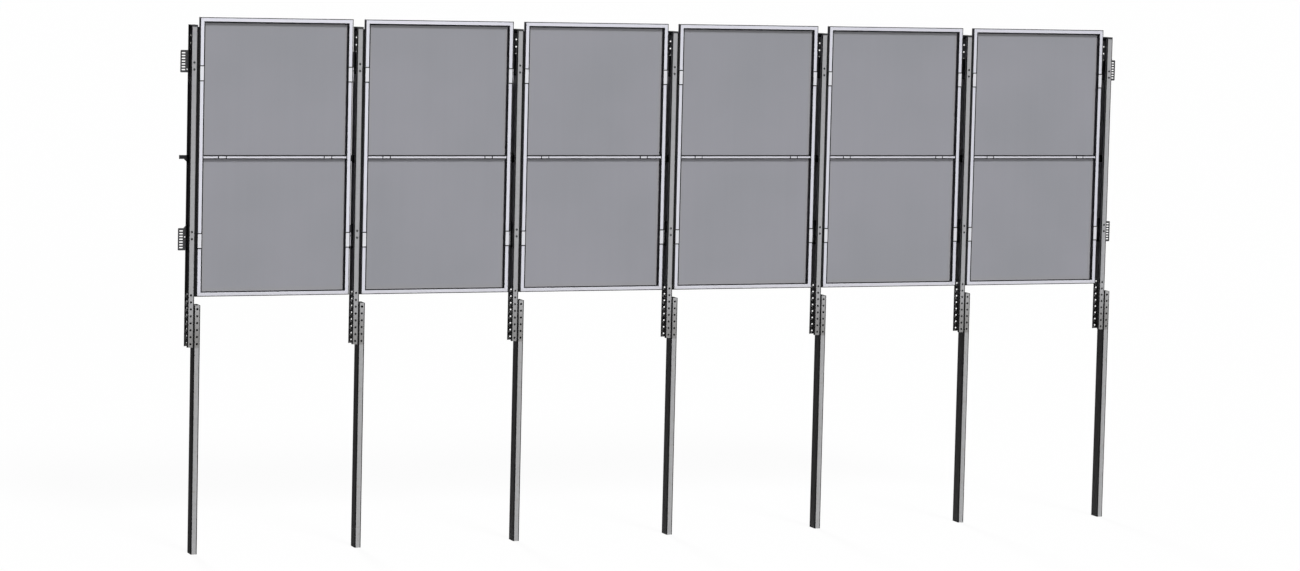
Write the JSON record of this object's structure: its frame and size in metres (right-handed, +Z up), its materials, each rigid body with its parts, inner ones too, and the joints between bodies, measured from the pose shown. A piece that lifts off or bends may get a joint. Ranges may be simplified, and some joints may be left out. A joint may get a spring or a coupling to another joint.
{
  "type": "vertical solar panel fence",
  "caption": "Row of upright framed solar modules held on slotted brackets between capped, perforated channel posts bolted to driven tube piles.",
  "frame": {"origin": "front face of the middle pile, on its centre line, at ground level", "axes": "+X along the fence, +Y from the front of the fence to its back, +Z up"},
  "size_m": [7.534, 0.1, 3.859],
  "materials": {
    "post_steel": "matt galvanised sheet",
    "pile_steel": "matt galvanised tube, soiled below ground",
    "bracket_steel": "galvanised pressed plate",
    "frame_aluminium": "pale anodised extrusion",
    "laminate_glass": "flat grey laminate, dull sheen",
    "bar_aluminium": "pale anodised extrusion",
    "clip_aluminium": "pale anodised",
    "support_steel": "dark coated plate",
    "strap_aluminium": "pale anodised"
  },
  "bodies": {
    "root": {"post_1": "post_steel", "post_2": "post_steel", "post_3": "post_steel", "post_4": "post_steel", "post_5": "post_steel", "post_6": "post_steel", "post_7": "post_steel", "pile_1": "pile_steel", "pile_2": "pile_steel", "pile_3": "pile_steel", "pile_4": "pile_steel", "pile_5": "pile_steel", "pile_6": "pile_steel", "pile_7": "pile_steel", "brackets_1": "bracket_steel", "brackets_2": "bracket_steel", "brackets_3": "bracket_steel", "brackets_4": "bracket_steel", "brackets_5": "bracket_steel", "brackets_6": "bracket_steel", "brackets_7": "bracket_steel", "frame_1": "frame_aluminium", "frame_2": "frame_aluminium", "frame_3": "frame_aluminium", "frame_4": "frame_aluminium", "frame_5": "frame_aluminium", "frame_6": "frame_aluminium", "laminate_1": "laminate_glass", "laminate_2": "laminate_glass", "laminate_3": "laminate_glass", "laminate_4": "laminate_glass", "laminate_5": "laminate_glass", "laminate_6": "laminate_glass", "crossbar_1": "bar_aluminium", "crossbar_2": "bar_aluminium", "crossbar_3": "bar_aluminium", "crossbar_4": "bar_aluminium", "crossbar_5": "bar_aluminium", "crossbar_6": "bar_aluminium", "upper_clips": "clip_aluminium", "lower_clips": "clip_aluminium", "mid_supports": "support_steel", "bar_straps": "strap_aluminium", "post_caps": "post_steel"}
  },
  "joints": []
}
